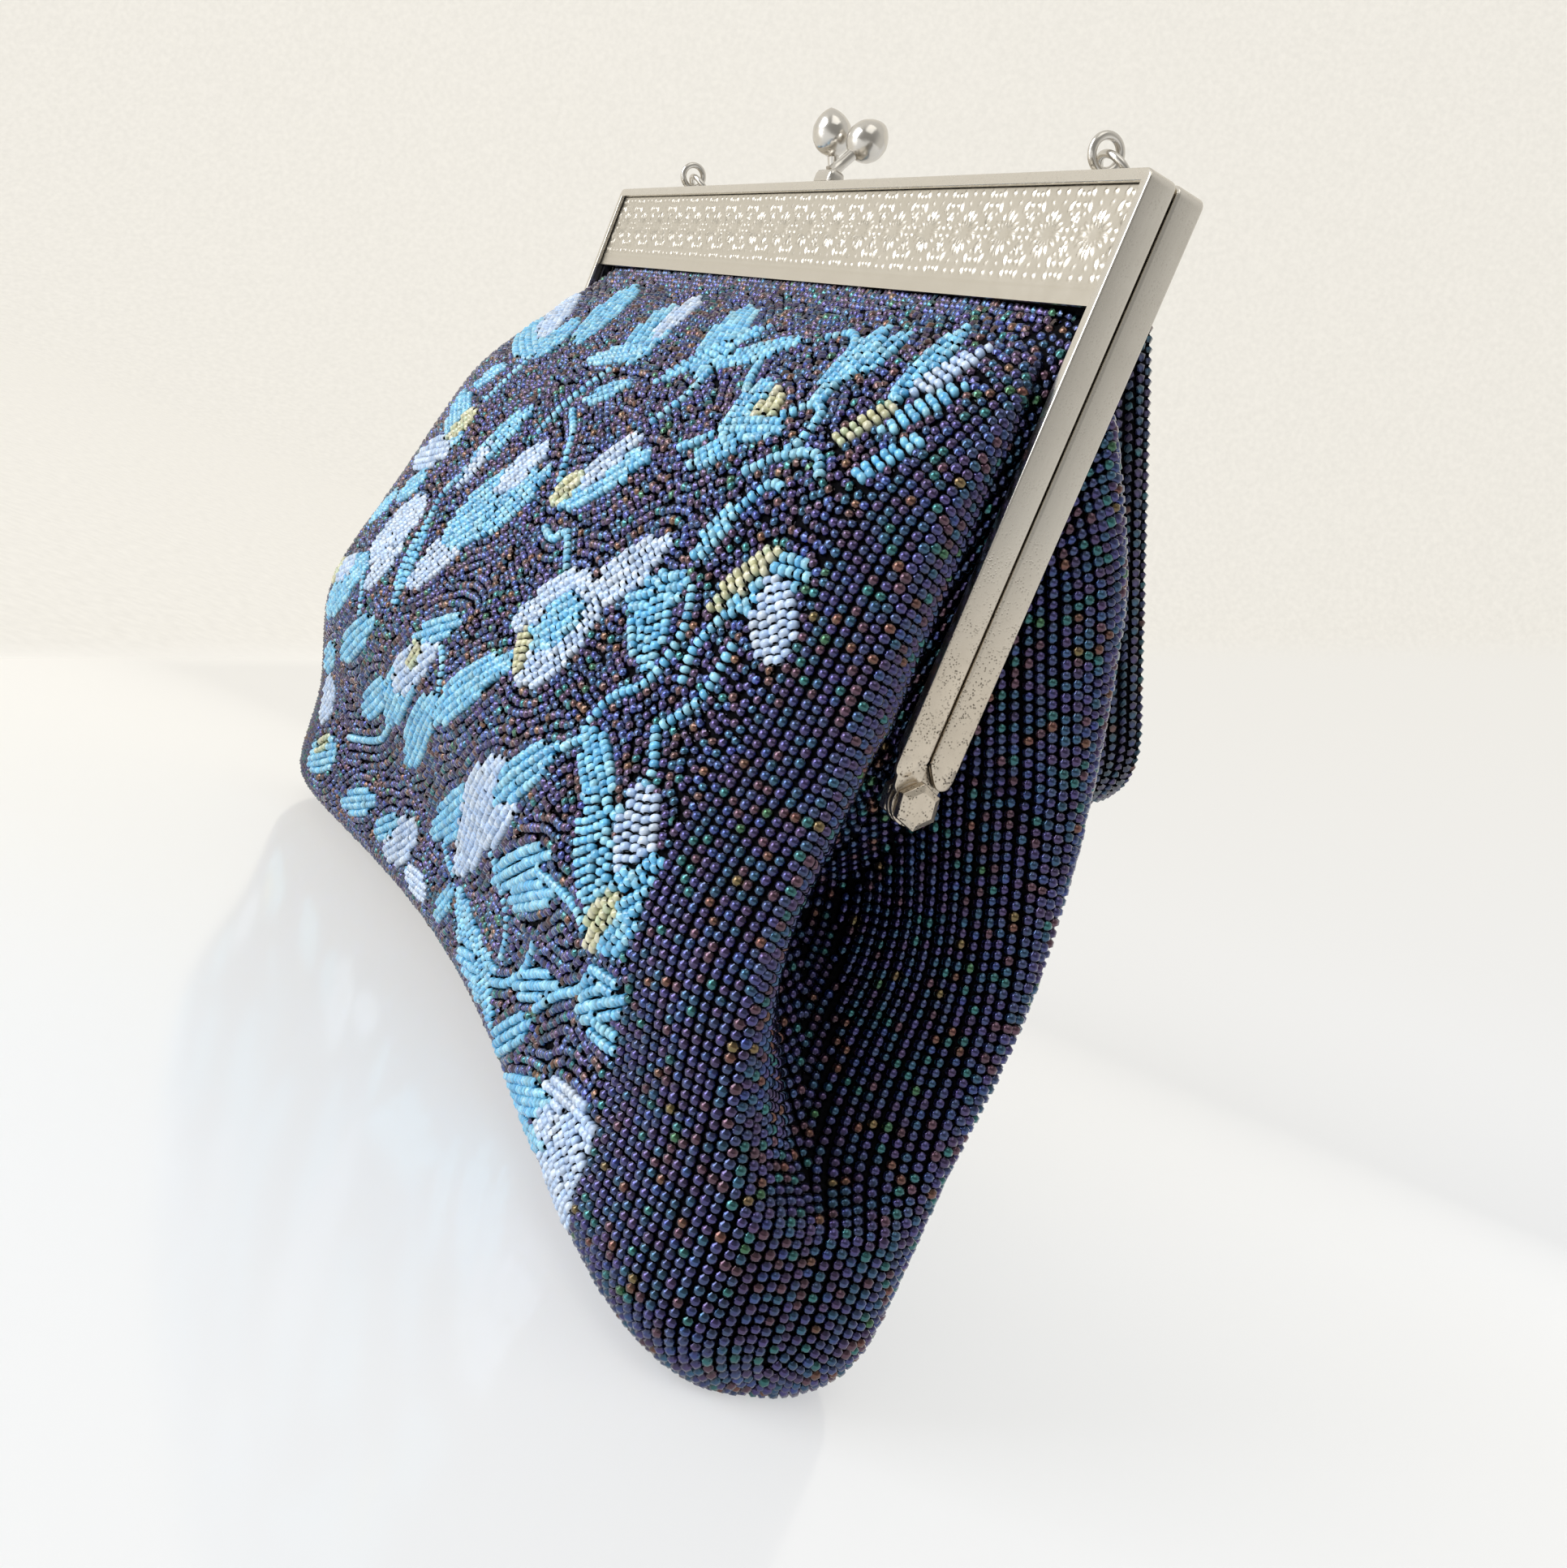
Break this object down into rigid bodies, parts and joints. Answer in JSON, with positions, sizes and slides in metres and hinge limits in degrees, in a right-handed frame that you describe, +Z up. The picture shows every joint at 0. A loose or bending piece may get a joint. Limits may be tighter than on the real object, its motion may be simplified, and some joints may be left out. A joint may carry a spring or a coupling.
{
  "type": "beaded frame clutch bag",
  "caption": "Stuffed beaded clutch with an embossed metal kiss-lock frame that hinges open, and a short beaded strap handle.",
  "frame": {"origin": "on the ground under the middle of the bag's bounds", "axes": "+X along the frame from the left hinge to the right hinge, -Y out of the beaded front, +Z up"},
  "size_m": [0.2304, 0.091, 0.1655],
  "materials": {
    "nickel": "polished",
    "embossed_nickel": "satin",
    "paper_cord": "matte",
    "floral_beads": "gloss",
    "dark_beads": "gloss",
    "satin": "satin",
    "strap_beads": "gloss"
  },
  "bodies": {
    "bag": {"back_frame": "nickel", "back_plate": "embossed_nickel", "back_channel_cord": "paper_cord", "left_hinge_pin": "nickel", "right_hinge_pin": "nickel", "left_handle_loop": "nickel", "right_handle_loop": "nickel", "back_clasp_foot": "nickel", "back_clasp_stem": "nickel", "back_clasp_ball": "nickel", "back_clasp_lug": "nickel", "back_panel": "dark_beads", "front_lower_panel": "floral_beads", "back_lining": "satin", "front_lower_lining": "satin"},
    "front_half": {"front_frame": "nickel", "front_plate": "embossed_nickel", "front_channel_cord": "paper_cord", "front_upper_panel": "floral_beads", "front_upper_lining": "satin", "front_clasp_foot": "nickel", "front_clasp_stem": "nickel", "front_clasp_ball": "nickel", "left_hinge_cap": "nickel", "right_hinge_cap": "nickel"},
    "handle": {"left_link_ring": "nickel", "right_link_ring": "nickel", "left_strap_tab": "nickel", "right_strap_tab": "nickel", "strap_band": "strap_beads"}
  },
  "joints": [
    {"name": "frame_opening", "type": "hinge", "parent": "bag", "child": "front_half", "pos_m": [0, -0.00819, 0.07277], "axis": [1, 0, 0], "range_deg": [0, 75], "deforming": ["front_upper_panel", "front_upper_lining"]},
    {"name": "handle_swing", "type": "hinge", "parent": "bag", "child": "handle", "pos_m": [0, -0.00592, 0.15767], "axis": [1, 0, 0], "range_deg": [0, 150]}
  ]
}
